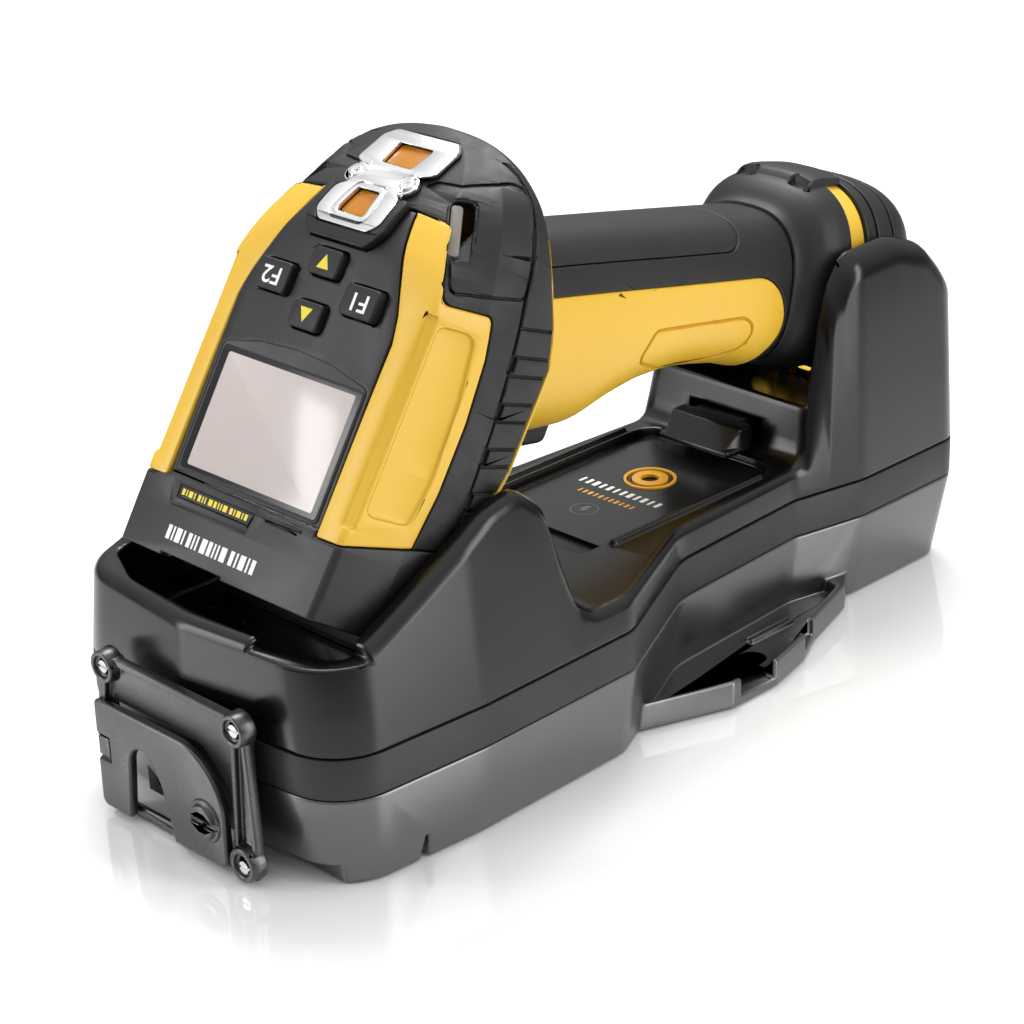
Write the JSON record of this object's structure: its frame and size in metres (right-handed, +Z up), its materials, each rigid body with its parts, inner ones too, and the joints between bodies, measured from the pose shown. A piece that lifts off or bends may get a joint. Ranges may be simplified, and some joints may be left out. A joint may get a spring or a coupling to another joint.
{
  "type": "handheld barcode scanner",
  "caption": "Pistol-grip barcode scanner with a small display and keys, lying in its charging cradle, from which it lifts straight up.",
  "frame": {"origin": "on the table under the middle of the bounding box", "axes": "+Z up, +Y from the cable end of the cradle to the saddle for the battery end, +X to the right of someone looking along +Y"},
  "size_m": [0.096, 0.243, 0.1446],
  "materials": {
    "yellow_abs": "moulded ABS, fine satin texture",
    "yellow_overmould": "moulded ABS, satin",
    "black_abs": "moulded ABS, fine matt texture",
    "cradle_abs": "moulded ABS, semi gloss",
    "soft_rubber": "moulded elastomer, matt",
    "grip_rubber": "textured elastomer",
    "display_glass": "clear hard-coated window over a reflective display",
    "display_cell": "liquid crystal cell",
    "amber_lens": "tinted polycarbonate",
    "chrome_plate": "polished and plated",
    "screw_steel": "machined, nickel plated",
    "dark_steel": "blackened",
    "light_pipe": "frosted polycarbonate",
    "status_amber": "tinted light guide",
    "label_film": "printed polyester film",
    "scan_glass": "red-black filter window",
    "circuit_board": "solder mask",
    "gold_contact": "gold flash",
    "cast_chassis": "die cast",
    "dark_part": "moulded",
    "battery_wrap": "shrink film",
    "socket_shell": "plated steel"
  },
  "bodies": {
    "cradle": {"base_shell": "cradle_abs", "seal_belt": "soft_rubber", "top_shell": "cradle_abs", "deck_label": "label_film", "status_ring": "status_amber", "charge_board": "circuit_board", "contact_block": "dark_part", "charge_contacts": "gold_contact", "interface_port": "socket_shell", "cable_bracket": "cradle_abs", "connector_cover": "black_abs", "cover_thumb_screw": "dark_steel", "rubber_foot_1": "soft_rubber", "rubber_foot_2": "soft_rubber", "rubber_foot_3": "soft_rubber", "rubber_foot_4": "soft_rubber", "bracket_screw_1": "screw_steel", "bracket_screw_2": "screw_steel", "bracket_screw_3": "screw_steel", "pocket_pad": "soft_rubber"},
    "lock": {"lock_slide": "black_abs"},
    "scanner": {"top_cover": "yellow_abs", "face_panel": "black_abs", "display_lens": "display_glass", "display_panel": "display_cell", "keypad_membrane": "grip_rubber", "head_bumper": "soft_rubber", "light_pipe_right": "light_pipe", "light_pipe_left": "light_pipe", "led_plate": "chrome_plate", "led_lens_lower": "amber_lens", "led_lens_upper": "amber_lens", "plate_screw_1": "screw_steel", "plate_screw_2": "screw_steel", "nose_bumper": "black_abs", "scan_window": "scan_glass", "rear_housing": "yellow_abs", "engine_chassis": "cast_chassis", "scan_engine": "dark_part", "engine_lens": "dark_part", "main_board": "circuit_board", "beeper": "dark_part", "vibration_motor": "screw_steel", "grip_front": "yellow_overmould", "grip_back": "grip_rubber", "grip_pad": "grip_rubber", "trigger_pin": "screw_steel", "trigger_switch": "dark_part", "trigger_spring": "screw_steel", "handle_boot": "grip_rubber", "accent_ring": "yellow_overmould", "battery_cap": "black_abs", "battery": "battery_wrap", "battery_contacts": "gold_contact", "charge_pads": "gold_contact"},
    "trigger": {"trigger": "black_abs"},
    "key_f1": {"key_f1": "soft_rubber"},
    "key_f2": {"key_f2": "soft_rubber"},
    "key_up": {"key_up": "soft_rubber"},
    "key_down": {"key_down": "soft_rubber"}
  },
  "joints": [
    {"name": "lift_off", "type": "slide", "parent": "cradle", "child": "scanner", "axis": [0, 0, 1], "range_m": [0, 0.08]},
    {"name": "lock_travel", "type": "slide", "parent": "cradle", "child": "lock", "axis": [0, -1, 0], "range_m": [0, 0.004]},
    {"name": "trigger_pull", "type": "hinge", "parent": "scanner", "child": "trigger", "pos_m": [0, -0.0336, 0.07874], "axis": [1, 0, 0], "range_deg": [0, 8], "stiffness_Nm_per_rad": 0.8, "springref_deg": -2.86},
    {"name": "press_f1", "type": "slide", "parent": "scanner", "child": "key_f1", "axis": [0, 0.8425, -0.5388], "range_m": [0, 0.001], "stiffness_N_per_m": 600},
    {"name": "press_f2", "type": "slide", "parent": "scanner", "child": "key_f2", "axis": [0, 0.8425, -0.5388], "range_m": [0, 0.001], "stiffness_N_per_m": 600},
    {"name": "press_up", "type": "slide", "parent": "scanner", "child": "key_up", "axis": [0, 0.8425, -0.5388], "range_m": [0, 0.001], "stiffness_N_per_m": 600},
    {"name": "press_down", "type": "slide", "parent": "scanner", "child": "key_down", "axis": [0, 0.8425, -0.5388], "range_m": [0, 0.001], "stiffness_N_per_m": 600}
  ]
}
